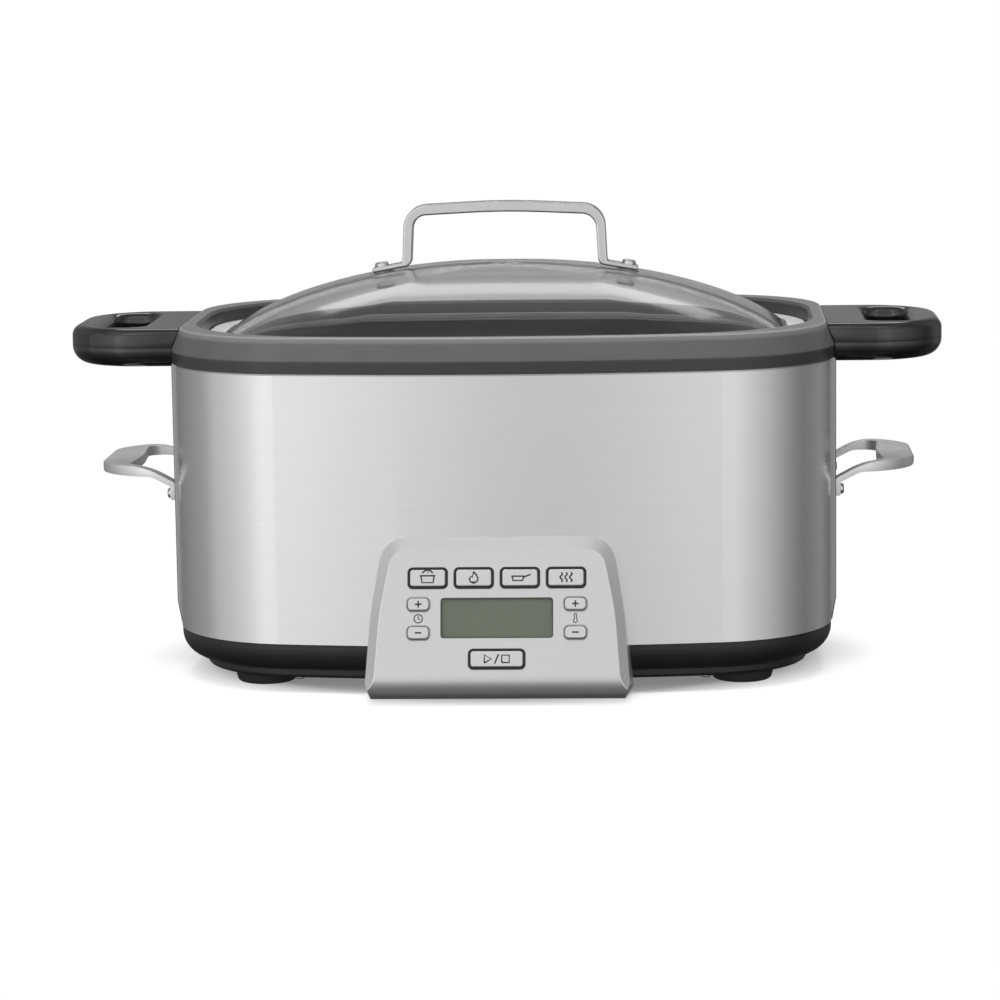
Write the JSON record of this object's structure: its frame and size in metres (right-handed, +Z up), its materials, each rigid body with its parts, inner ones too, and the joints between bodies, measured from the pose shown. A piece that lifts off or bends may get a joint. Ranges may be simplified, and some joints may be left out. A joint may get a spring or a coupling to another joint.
{
  "type": "slow cooker",
  "caption": "Oblong slow cooker: lift-out dark pot with domed glass lid in a brushed steel housing on a black base, with loop handles and a sloping front panel of keys and a display.",
  "frame": {"origin": "centre of the whole cooker's bounding box on the worktop, under the feet", "axes": "+X to the right seen from the front, along the long way; +Y to the back; +Z up; the control panel faces -Y"},
  "size_m": [0.484, 0.2818, 0.256],
  "materials": {
    "brushed_steel": "fine horizontal brushing",
    "cast_metal": "satin silver",
    "polished_steel": "bright",
    "black_plastic": "satin black",
    "rubber": "matt black",
    "plain_steel": "plain sheet",
    "aluminium": "cast, satin",
    "element_sheath": "dull dark metal",
    "fuse_body": "plain",
    "circuit_board": "solder mask",
    "dark_plastic": "matt black",
    "cable_sleeve": "plain grey",
    "silver_plastic": "satin silver paint",
    "silver_key": "grained silver",
    "clear_window": "clear",
    "display": "grey-green, blank",
    "black_coating": "cast, dark satin non-stick coating",
    "clear_glass": "clear tempered"
  },
  "bodies": {
    "base_unit": {"housing_shell": "brushed_steel", "left_end_panel": "brushed_steel", "right_end_panel": "brushed_steel", "left_side_handle": "cast_metal", "right_side_handle": "cast_metal", "side_handle_rivets": "polished_steel", "base_tray": "black_plastic", "bottom_cover": "black_plastic", "bottom_cover_screws": "plain_steel", "foot_front_left": "rubber", "foot_front_right": "rubber", "foot_rear_left": "rubber", "foot_rear_right": "rubber", "inner_liner": "plain_steel", "heating_plate": "aluminium", "heating_element": "element_sheath", "plate_standoffs": "plain_steel", "thermal_fuse": "fuse_body", "sensor_cup": "plain_steel", "sensor_spring": "plain_steel", "power_board": "circuit_board", "board_posts": "dark_plastic", "power_relay": "dark_plastic", "power_transformer": "dark_plastic", "ribbon_cable": "cable_sleeve", "cord_gland": "black_plastic", "panel_housing": "silver_plastic", "button_frame": "dark_plastic", "display_lens": "clear_window", "lcd_module": "display", "control_board": "circuit_board", "board_screws": "plain_steel", "tact_switches": "dark_plastic"},
    "pot": {"cooking_pot": "black_coating", "left_pot_handle_top": "black_plastic", "left_pot_handle_bottom": "black_plastic", "right_pot_handle_top": "black_plastic", "right_pot_handle_bottom": "black_plastic", "pot_handle_screws": "plain_steel"},
    "lid": {"lid_glass": "clear_glass", "lid_rim": "polished_steel", "lid_handle": "polished_steel", "lid_handle_screws": "polished_steel", "lid_handle_washers": "rubber", "lid_handle_nuts": "polished_steel"},
    "sensor": {"sensor_cap": "aluminium"},
    "key_mode_1": {"button_mode_1": "silver_key"},
    "key_mode_2": {"button_mode_2": "silver_key"},
    "key_mode_3": {"button_mode_3": "silver_key"},
    "key_mode_4": {"button_mode_4": "silver_key"},
    "key_time_up": {"button_time_up": "silver_key"},
    "key_time_down": {"button_time_down": "silver_key"},
    "key_temp_up": {"button_temp_up": "silver_key"},
    "key_temp_down": {"button_temp_down": "silver_key"},
    "key_start_stop": {"button_start_stop": "silver_key"}
  },
  "joints": [
    {"name": "pot_lift", "type": "slide", "parent": "base_unit", "child": "pot", "axis": [0, 0, 1], "range_m": [0, 0.2]},
    {"name": "lid_lift", "type": "slide", "parent": "pot", "child": "lid", "axis": [0, 0, 1], "range_m": [0, 0.15]},
    {"name": "sensor_press", "type": "slide", "parent": "base_unit", "child": "sensor", "axis": [0, 0, 1], "range_m": [-0.0015, 0], "stiffness_N_per_m": 1500, "springref_m": 0.0004, "deforming": ["sensor_spring"]},
    {"name": "press_mode_1", "type": "slide", "parent": "base_unit", "child": "key_mode_1", "axis": [0, 0.9511, -0.309], "range_m": [0, 0.0006], "stiffness_N_per_m": 1500, "springref_m": -0.0002},
    {"name": "press_mode_2", "type": "slide", "parent": "base_unit", "child": "key_mode_2", "axis": [0, 0.9511, -0.309], "range_m": [0, 0.0006], "stiffness_N_per_m": 1500, "springref_m": -0.0002},
    {"name": "press_mode_3", "type": "slide", "parent": "base_unit", "child": "key_mode_3", "axis": [0, 0.9511, -0.309], "range_m": [0, 0.0006], "stiffness_N_per_m": 1500, "springref_m": -0.0002},
    {"name": "press_mode_4", "type": "slide", "parent": "base_unit", "child": "key_mode_4", "axis": [0, 0.9511, -0.309], "range_m": [0, 0.0006], "stiffness_N_per_m": 1500, "springref_m": -0.0002},
    {"name": "press_time_up", "type": "slide", "parent": "base_unit", "child": "key_time_up", "axis": [0, 0.9511, -0.309], "range_m": [0, 0.0006], "stiffness_N_per_m": 1500, "springref_m": -0.0002},
    {"name": "press_time_down", "type": "slide", "parent": "base_unit", "child": "key_time_down", "axis": [0, 0.9511, -0.309], "range_m": [0, 0.0006], "stiffness_N_per_m": 1500, "springref_m": -0.0002},
    {"name": "press_temp_up", "type": "slide", "parent": "base_unit", "child": "key_temp_up", "axis": [0, 0.9511, -0.309], "range_m": [0, 0.0006], "stiffness_N_per_m": 1500, "springref_m": -0.0002},
    {"name": "press_temp_down", "type": "slide", "parent": "base_unit", "child": "key_temp_down", "axis": [0, 0.9511, -0.309], "range_m": [0, 0.0006], "stiffness_N_per_m": 1500, "springref_m": -0.0002},
    {"name": "press_start_stop", "type": "slide", "parent": "base_unit", "child": "key_start_stop", "axis": [0, 0.9511, -0.309], "range_m": [0, 0.0006], "stiffness_N_per_m": 1500, "springref_m": -0.0002}
  ]
}
